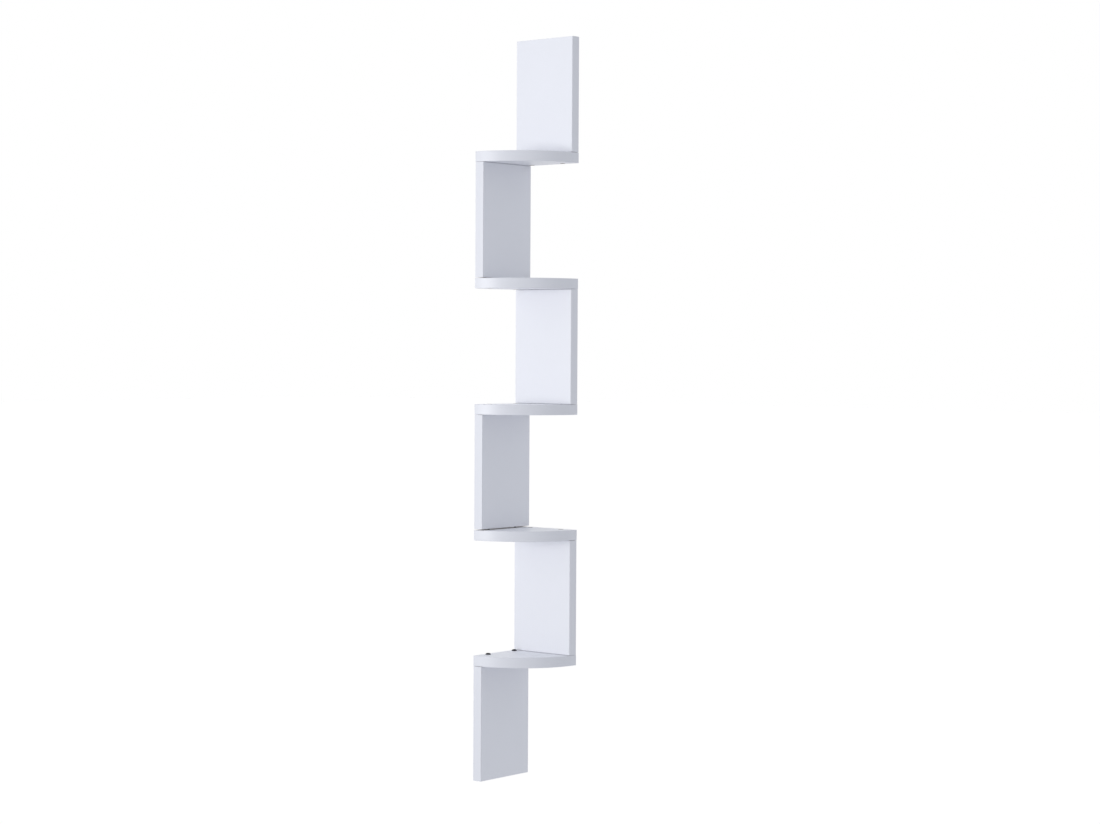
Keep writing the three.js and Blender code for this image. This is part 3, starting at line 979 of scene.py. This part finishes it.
def studio_world(stage):
    """Light as pale flats give it that stand where the room's two walls would be: every direction
    that would meet the right or the left flat brings that flat's light, and the open side in front
    brings less. Where the world is seen it is plain white."""
    world = bpy.data.worlds.new("studio")
    bpy.context.scene.world = world
    world.use_nodes = True
    tree = world.node_tree
    tree.nodes.clear()
    way = add_node(tree, "ShaderNodeTexCoord").outputs["Generated"]
    axes = add_node(tree, "ShaderNodeSeparateXYZ", inputs={0: way}).outputs
    left = shades(tree, past(tree, axes["X"], -1), FLAT_TINT, stage.room, stage.left_flat)
    light = tints(tree, past(tree, axes["Y"], 1), left, FLAT_TINT * stage.right_flat)
    lit = add_node(tree, "ShaderNodeBackground", inputs={"Color": light})
    white = add_node(tree, "ShaderNodeBackground", inputs={"Color": (1, 1, 1, 1)})
    add_node(tree, "ShaderNodeOutputWorld", inputs={"Surface": by_ray(tree, lit, white).outputs[0]})


class BOOKSHELF_OT_stage(bpy.types.Operator):
    """Set up the floor, the light and the camera"""
    bl_idname = "bookshelf.stage"
    bl_label = "Stage"

    def execute(self, context):
        stage = context.scene.bookshelf_stage
        corners = FLOOR_HALF * np.array([[-1, -1], [1, -1], [1, 1], [-1, 1]])
        sweep = bpy.data.meshes.new("floor")
        sweep.from_pydata(at_height(corners, -stage.floor_drop).tolist(), [], [[0, 1, 2, 3]])
        sweep.materials.append(floor_material())
        floor = bpy.data.objects.new("floor", sweep)
        context.scene.collection.objects.link(floor)
        studio_world(stage)
        self.add_key(context, stage)
        self.add_camera(context, stage)
        context.scene.view_settings.view_transform = "Standard"
        return {"FINISHED"}

    def add_key(self, context, stage):
        """One large soft light before the right wall, level with the shelf's middle so that no
        shelf shades the board below it. A grid narrows its beam, and it aims above the middle, so
        that the light falls off towards the foot."""
        lamp = bpy.data.lights.new("key", "AREA")
        lamp.shape = "RECTANGLE"
        lamp.size, lamp.size_y = KEY_SIZE
        lamp.spread = KEY_SPREAD
        lamp.energy = stage.key
        lamp.color = KEY_COLOUR
        source = np.array(KEY_LEVEL) + KEY_DISTANCE * unit_vector(KEY_SIDE)
        place_object(context, "key", lamp, source, unit_vector(KEY_AIM - source), 0)

    def add_camera(self, context, stage):
        """The camera stands at its distance and azimuth from the corner of the walls."""
        camera = bpy.data.cameras.new("camera")
        camera.sensor_fit, camera.sensor_width = "HORIZONTAL", SENSOR
        camera.lens = stage.lens
        turn, heading = stage.azimuth, stage.azimuth + stage.aside
        place = np.array([stage.distance * np.sin(turn), -stage.distance * np.cos(turn), stage.height])
        forward = np.array([-np.sin(heading) * np.cos(stage.pitch),
                            np.cos(heading) * np.cos(stage.pitch), -np.sin(stage.pitch)])
        context.scene.camera = place_object(context, "camera", camera, place, forward, stage.roll)


def unit_vector(vector):
    """A vector divided by its length."""
    return np.array(vector) / np.linalg.norm(vector)


def place_object(context, name, data, place, forward, roll):
    """A camera or lamp at a place, looking forward, with its side direction level but for a roll."""
    thing = bpy.data.objects.new(name, data)
    context.scene.collection.objects.link(thing)
    right = unit_vector(np.cross(forward, [0, 0, 1]))
    up = np.cross(right, forward)
    side = right * np.cos(roll) + up * np.sin(roll)
    top = up * np.cos(roll) - right * np.sin(roll)
    columns = Matrix((side.tolist(), top.tolist(), (-forward).tolist())).transposed()
    thing.matrix_world = Matrix.Translation(place.tolist()) @ columns.to_4x4()
    return thing


# Panel and registration

class BOOKSHELF_PT_build(bpy.types.Panel):
    """Lists the shelf's settings and the operators that build it"""
    bl_idname = "BOOKSHELF_PT_build"
    bl_label = "Corner bookshelf"
    bl_space_type = "VIEW_3D"
    bl_region_type = "UI"
    bl_category = "Bookshelf"

    def draw(self, context):
        for operator in OPERATORS:
            self.layout.operator(operator.bl_idname)
        for name in SETTINGS:
            box = self.layout.box()
            settings = getattr(context.scene, name)
            for field in settings.bl_rna.properties:
                if field.identifier in settings.__annotations__:
                    box.prop(settings, field.identifier)


OPERATORS = (
    BOOKSHELF_OT_uprights,
    BOOKSHELF_OT_shelves,
    BOOKSHELF_OT_edge_bands,
    BOOKSHELF_OT_joint_screws,
    BOOKSHELF_OT_keyhole_plates,
    BOOKSHELF_OT_stage,
)
SETTINGS = {
    "bookshelf_boards": BookshelfBoards,
    "bookshelf_screws": BookshelfScrews,
    "bookshelf_plates": BookshelfPlates,
    "bookshelf_stage": BookshelfStage,
}
CLASSES = (*SETTINGS.values(), *OPERATORS, BOOKSHELF_PT_build)


def register():
    """Adds the classes to Blender, and the settings to every scene."""
    for each in CLASSES:
        bpy.utils.register_class(each)
    for name, group in SETTINGS.items():
        setattr(bpy.types.Scene, name, bpy.props.PointerProperty(type=group))


def unregister():
    """Takes the settings and the classes out again."""
    for name in SETTINGS:
        delattr(bpy.types.Scene, name)
    for each in reversed(CLASSES):
        bpy.utils.unregister_class(each)


def main():
    """Registers the add-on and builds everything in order."""
    register()
    bpy.ops.bookshelf.uprights()
    bpy.ops.bookshelf.shelves()
    bpy.ops.bookshelf.edge_bands()
    bpy.ops.bookshelf.joint_screws()
    bpy.ops.bookshelf.keyhole_plates()
    bpy.ops.bookshelf.stage()


if __name__ == "__main__":
    main()
